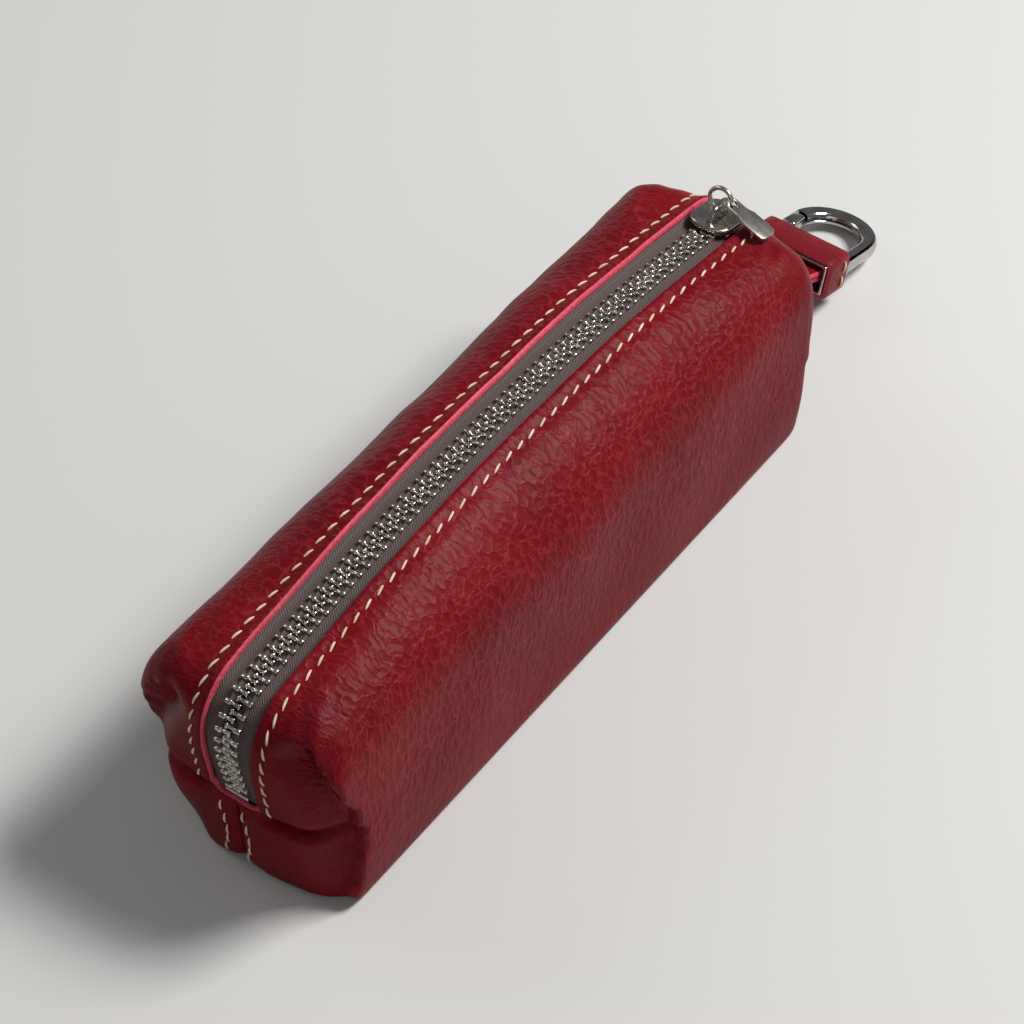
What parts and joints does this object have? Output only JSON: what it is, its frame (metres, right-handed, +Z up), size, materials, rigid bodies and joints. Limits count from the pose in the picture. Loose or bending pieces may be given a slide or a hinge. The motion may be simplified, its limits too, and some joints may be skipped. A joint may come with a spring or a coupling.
{
  "type": "zippered pouch",
  "caption": "Small boxy leather pouch with a metal zipper along its arched top and a spring-gate hook on a short leather strap",
  "frame": {"origin": "centre of the flat base the pouch rests on, midway between the end corners and on the base seam", "axes": "+Z up, +Y along the zipper towards the hook, +X to the right when looking along +Y"},
  "size_m": [0.038, 0.1744, 0.0438],
  "materials": {
    "leather": "pebbled",
    "strap_leather": "smooth",
    "tape": "woven",
    "thread": "twisted",
    "zip_metal": "polished",
    "hook_metal": "polished dark nickel",
    "spring_metal": "drawn wire"
  },
  "bodies": {
    "pouch": {"left_panel": "leather", "right_panel": "leather", "left_tape": "tape", "right_tape": "tape", "left_teeth": "zip_metal", "right_teeth": "zip_metal", "bottom_stop": "zip_metal", "top_stops": "zip_metal", "left_zip_stitches": "thread", "right_zip_stitches": "thread", "left_base_stitches": "thread", "right_base_stitches": "thread", "strap": "strap_leather", "strap_stitches": "thread"},
    "slider": {"slider_body": "zip_metal"},
    "pull_ring": {"pull_ring": "zip_metal"},
    "pull_tab": {"pull_tab": "zip_metal"},
    "hook": {"hook_frame": "hook_metal", "hook_pin": "hook_metal", "hook_collar": "strap_leather", "collar_stitches": "thread", "gate_pin": "hook_metal", "gate_spring": "spring_metal"},
    "gate": {"hook_gate": "hook_metal"}
  },
  "joints": [
    {"name": "slider_travel", "type": "hinge", "parent": "pouch", "child": "slider", "pos_m": [0, -0.005, -0.2845], "axis": [1, 0, 0], "range_deg": [0, 20.6], "deforming": ["left_teeth", "right_teeth"]},
    {"name": "ring_swing", "type": "hinge", "parent": "slider", "child": "pull_ring", "pos_m": [0, 0.06296, 0.03768], "axis": [1, 0, 0], "range_deg": [-12, 12]},
    {"name": "tab_swing", "type": "hinge", "parent": "pull_ring", "child": "pull_tab", "pos_m": [0.0021, 0.0634, 0.03974], "axis": [0, -0.9785, 0.2064], "range_deg": [0, 55]},
    {"name": "hook_swing", "type": "hinge", "parent": "pouch", "child": "hook", "pos_m": [0, 0.0875, 0.0072], "axis": [1, 0, 0], "range_deg": [-25, 8]},
    {"name": "gate_swing", "type": "hinge", "parent": "hook", "child": "gate", "pos_m": [-0.0066, 0.09415, 0.00517], "axis": [0, -0.2924, -0.9563], "range_deg": [0, 25], "stiffness_Nm_per_rad": 0.004, "springref_deg": -17.19}
  ]
}
